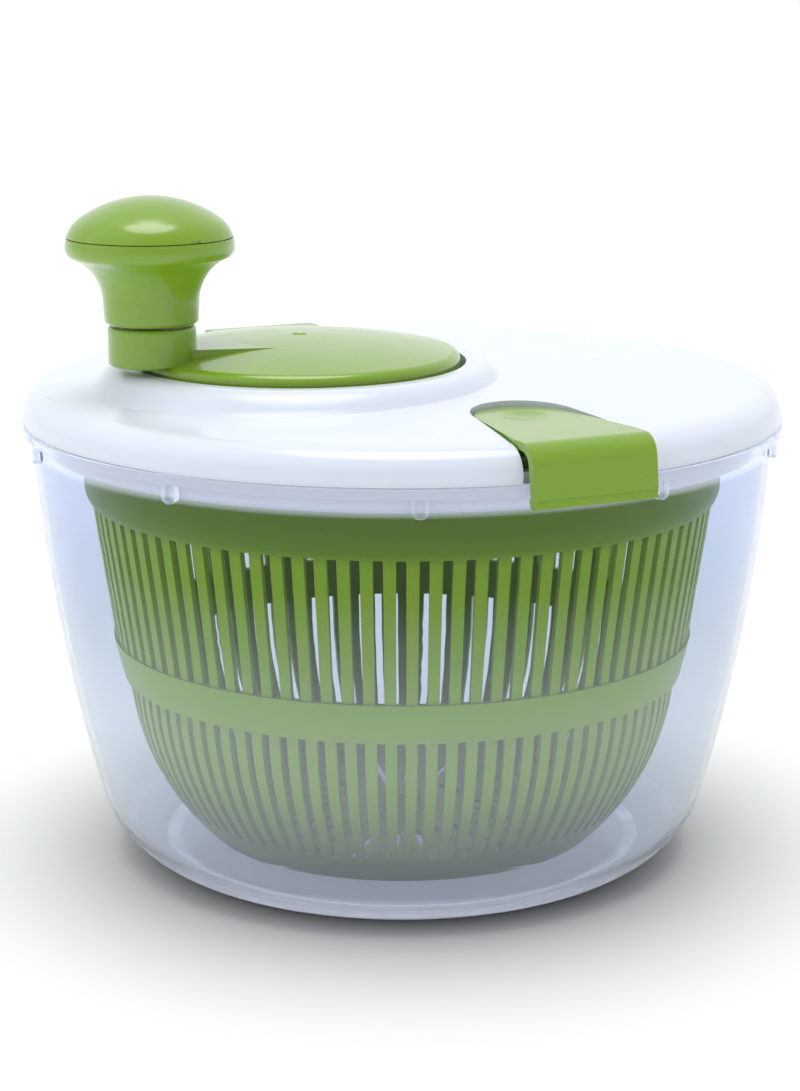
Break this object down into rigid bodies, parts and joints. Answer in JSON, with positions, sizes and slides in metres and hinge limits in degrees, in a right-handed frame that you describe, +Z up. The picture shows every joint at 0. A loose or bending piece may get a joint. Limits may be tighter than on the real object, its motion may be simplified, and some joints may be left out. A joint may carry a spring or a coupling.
{
  "type": "salad spinner",
  "caption": "Clear bowl with a slotted spinning basket, a domed lid with an off-centre geared crank and knob, and two rocker latches.",
  "frame": {"origin": "centre of the bowl's foot, on the surface it stands on", "axes": "+Z up along the bowl's and basket's axis; the latches are at -Y (front) and +Y (rear); the crank's axis is at -X"},
  "size_m": [0.264, 0.2712, 0.2346],
  "materials": {
    "clear_plastic": "clear, glossy",
    "green_plastic": "satin gloss",
    "white_plastic": "gloss",
    "nylon": "as moulded",
    "steel": "plain"
  },
  "bodies": {
    "bowl": {"bowl": "clear_plastic"},
    "basket": {"basket": "green_plastic"},
    "lid": {"lid_shell": "white_plastic", "lid_liner": "white_plastic", "liner_screws": "steel", "crank_bush": "nylon", "pinion_bush": "nylon", "front_latch_pin": "steel", "rear_latch_pin": "steel"},
    "crank": {"crank": "green_plastic", "ring_gear": "nylon", "ring_gear_screws": "steel", "crank_washer": "steel", "crank_screw": "steel", "knob_spindle": "steel", "knob_washer": "steel", "knob_screw": "steel"},
    "drive": {"pinion": "nylon", "drive_plate": "white_plastic", "drive_plate_washer": "steel", "drive_plate_screw": "steel"},
    "knob": {"knob_body": "green_plastic", "knob_cap": "green_plastic"},
    "front_latch": {"front_latch": "green_plastic"},
    "rear_latch": {"rear_latch": "green_plastic"}
  },
  "joints": [
    {"name": "basket_spin", "type": "hinge", "parent": "bowl", "child": "basket", "pos_m": [0, 0, 0.012], "axis": [0, 0, 1], "continuous": true},
    {"name": "lid_lift", "type": "slide", "parent": "bowl", "child": "lid", "axis": [0, 0, 1], "range_m": [0, 0.16]},
    {"name": "crank_turn", "type": "hinge", "parent": "lid", "child": "crank", "pos_m": [-0.039, 0, 0.16], "axis": [0, 0, 1], "continuous": true},
    {"name": "drive_spin", "type": "hinge", "parent": "lid", "child": "drive", "pos_m": [0, 0, 0.155], "axis": [0, 0, 1], "continuous": true},
    {"name": "knob_spin", "type": "hinge", "parent": "crank", "child": "knob", "pos_m": [-0.0923, 0, 0.2], "axis": [0, 0, 1], "continuous": true},
    {"name": "front_latch_tilt", "type": "hinge", "parent": "lid", "child": "front_latch", "pos_m": [0, -0.1215, 0.1623], "axis": [-1, 0, 0], "range_deg": [0, 6.5]},
    {"name": "rear_latch_tilt", "type": "hinge", "parent": "lid", "child": "rear_latch", "pos_m": [0, 0.1215, 0.1623], "axis": [1, 0, 0], "range_deg": [0, 6.5]}
  ],
  "couplings": [
    {"joint": "crank_turn", "follows": "basket_spin", "ratio": 0.21212},
    {"joint": "drive_spin", "follows": "basket_spin", "ratio": 1}
  ]
}
